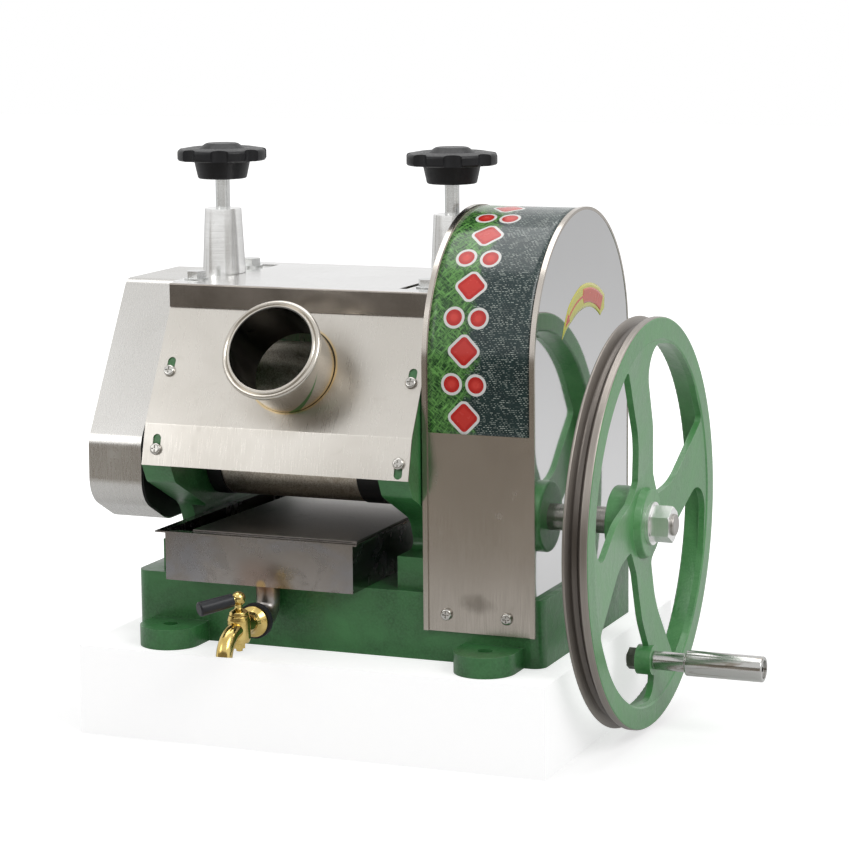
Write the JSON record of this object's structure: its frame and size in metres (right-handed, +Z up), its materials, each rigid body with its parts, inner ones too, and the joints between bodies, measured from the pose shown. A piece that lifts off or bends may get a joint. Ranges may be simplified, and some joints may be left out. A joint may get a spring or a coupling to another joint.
{
  "type": "manual sugarcane juicer",
  "caption": "Hand-cranked roller mill that presses sugarcane: green cast base and spoked flywheel, stainless covers, round feed tube, juice tray with a brass tap.",
  "frame": {"origin": "centre of the base's underside, in the middle of its four hold-down holes", "axes": "+X to the flywheel side, +Y to the back, where the pressed cane leaves, +Z up"},
  "size_m": [0.6184, 0.4344, 0.533],
  "materials": {
    "green_cast_paint": "cast iron under glossy green enamel",
    "brushed_stainless": "brushed",
    "polished_stainless": "polished nearly to a mirror",
    "machined_steel": "machined, bare",
    "chrome": "bright plating",
    "zinc_plated_steel": "bright zinc",
    "cast_steel_boss": "turned and polished",
    "roller_steel": "knurled",
    "dark_collar": "satin black",
    "bronze_bearing": "machined bronze",
    "brass_tap": "polished",
    "black_gloss_plastic": "glossy black",
    "black_sleeve": "satin black",
    "black_rubber": "matte"
  },
  "bodies": {
    "root": {"base_casting": "green_cast_paint", "left_side_frame": "green_cast_paint", "right_side_frame": "green_cast_paint", "outboard_bearing_bracket": "green_cast_paint", "foot_bolts": "zinc_plated_steel", "left_bearing_cap": "cast_steel_boss", "right_bearing_cap": "cast_steel_boss", "left_bearing_block": "machined_steel", "right_bearing_block": "machined_steel", "cap_bolts": "zinc_plated_steel", "cap_washers": "zinc_plated_steel", "roller_bushes": "bronze_bearing", "crank_bushes": "bronze_bearing", "top_cover": "brushed_stainless", "front_cover": "brushed_stainless", "feed_tube": "brushed_stainless", "back_cover": "brushed_stainless", "arch_cover": "brushed_stainless", "arch_side_plate": "polished_stainless", "arch_inner_plate": "polished_stainless", "left_gear_cover": "brushed_stainless", "left_cover_back_plate": "dark_collar", "cover_screws": "zinc_plated_steel", "turner_plate": "machined_steel"},
    "crank": {"crank_shaft": "machined_steel", "pinion": "machined_steel", "pinion_key": "machined_steel", "flywheel": "green_cast_paint", "flywheel_key": "machined_steel", "flywheel_washer": "zinc_plated_steel", "flywheel_nut": "zinc_plated_steel", "handle_pin": "chrome", "handle_nut": "zinc_plated_steel", "handle_end_screw": "chrome"},
    "grip": {"handle_grip": "chrome"},
    "upper_roller": {"top_roller": "roller_steel", "top_roller_gear": "machined_steel", "main_gear": "machined_steel", "main_gear_key": "machined_steel"},
    "lower_front_roller": {"front_roller": "roller_steel", "front_roller_collars": "dark_collar", "front_roller_gear": "machined_steel"},
    "lower_back_roller": {"back_roller": "roller_steel", "back_roller_collars": "dark_collar", "back_roller_gear": "machined_steel"},
    "left_pad": {"left_thrust_pad": "machined_steel"},
    "left_adjuster": {"left_adjusting_screw": "zinc_plated_steel", "left_knob": "black_gloss_plastic"},
    "right_pad": {"right_thrust_pad": "machined_steel"},
    "right_adjuster": {"right_adjusting_screw": "zinc_plated_steel", "right_knob": "black_gloss_plastic"},
    "tray": {"juice_tray": "brushed_stainless", "tray_strainer": "brushed_stainless", "drain_pipe": "brushed_stainless", "tap_washer": "black_rubber", "tap_body": "brass_tap"},
    "tap": {"tap_plug": "brass_tap", "tap_lever_sleeve": "black_sleeve", "tap_nut": "brass_tap"}
  },
  "joints": [
    {"name": "crank_spin", "type": "hinge", "parent": "root", "child": "crank", "pos_m": [0.16, 0, 0.114], "axis": [1, 0, 0], "continuous": true},
    {"name": "grip_spin", "type": "hinge", "parent": "crank", "child": "grip", "pos_m": [0.335, 0.002, -0.0156], "axis": [1, 0, 0], "continuous": true},
    {"name": "top_roller_spin", "type": "hinge", "parent": "root", "child": "upper_roller", "pos_m": [-0.05, 0, 0.2295], "axis": [1, 0, 0], "continuous": true},
    {"name": "front_roller_spin", "type": "hinge", "parent": "root", "child": "lower_front_roller", "pos_m": [-0.05, -0.056, 0.16689], "axis": [1, 0, 0], "continuous": true},
    {"name": "back_roller_spin", "type": "hinge", "parent": "root", "child": "lower_back_roller", "pos_m": [-0.05, 0.056, 0.16689], "axis": [1, 0, 0], "continuous": true},
    {"name": "left_adjuster_lift", "type": "slide", "parent": "root", "child": "left_pad", "axis": [0, 0, 1], "range_m": [0, 0.006]},
    {"name": "left_knob_turn", "type": "hinge", "parent": "left_pad", "child": "left_adjuster", "pos_m": [-0.1676, 0, 0.35], "axis": [0, 0, 1], "range_deg": [0, 1080]},
    {"name": "right_adjuster_lift", "type": "slide", "parent": "root", "child": "right_pad", "axis": [0, 0, 1], "range_m": [0, 0.006]},
    {"name": "right_knob_turn", "type": "hinge", "parent": "right_pad", "child": "right_adjuster", "pos_m": [0.0691, 0, 0.35], "axis": [0, 0, 1], "range_deg": [0, 1080]},
    {"name": "tray_slide", "type": "slide", "parent": "root", "child": "tray", "axis": [0, -1, 0], "range_m": [0, 0.18]},
    {"name": "tap_turn", "type": "hinge", "parent": "tray", "child": "tap", "pos_m": [-0.0595, -0.205, 0.034], "axis": [0, 0, 1], "range_deg": [-52, 38]}
  ],
  "couplings": [
    {"joint": "top_roller_spin", "follows": "crank_spin", "ratio": -0.24194},
    {"joint": "front_roller_spin", "follows": "crank_spin", "ratio": 0.24194},
    {"joint": "back_roller_spin", "follows": "crank_spin", "ratio": 0.24194},
    {"joint": "left_adjuster_lift", "follows": "left_knob_turn", "m_per_rad": 0.00031828},
    {"joint": "right_adjuster_lift", "follows": "right_knob_turn", "m_per_rad": 0.00031828}
  ]
}
